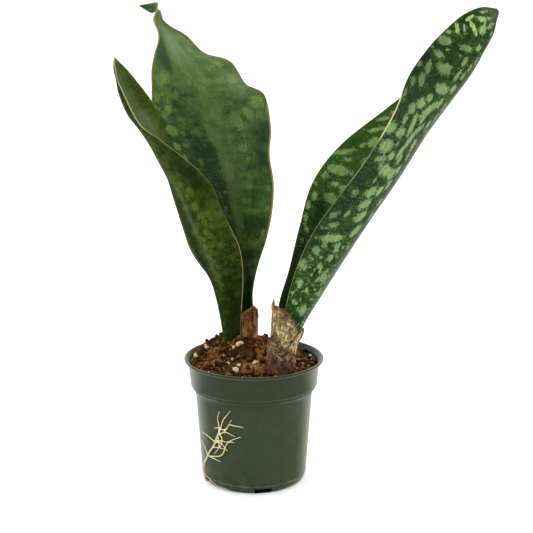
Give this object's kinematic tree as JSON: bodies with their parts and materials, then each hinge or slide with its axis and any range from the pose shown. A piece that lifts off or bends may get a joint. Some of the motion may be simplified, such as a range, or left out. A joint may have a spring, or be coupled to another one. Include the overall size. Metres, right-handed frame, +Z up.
{
  "type": "potted whale fin snake plant",
  "caption": "Whale fin snake plant with broad mottled leaves and dry leaf bases, standing in soil in a round nursery pot.",
  "frame": {"origin": "middle of the pot's base, on the surface that it stands on", "axes": "+Z up, -Y towards the front of the picture, +X towards the leaf that leans out on the right"},
  "size_m": [0.2782, 0.1275, 0.3582],
  "materials": {
    "pot": "satin",
    "soil": "matte",
    "leaf": "satin",
    "sheath": "matte",
    "scale": "matte",
    "root": "matte"
  },
  "bodies": {
    "root": {"pot": "pot", "soil": "soil", "rhizome": "root", "roots": "root", "leaf_back": "leaf", "leaf_front": "leaf", "leaf_right": "leaf", "sheath_left": "sheath", "sheath_right_tall": "sheath", "sheath_right_side": "sheath", "sheath_right_low": "scale"}
  },
  "joints": []
}
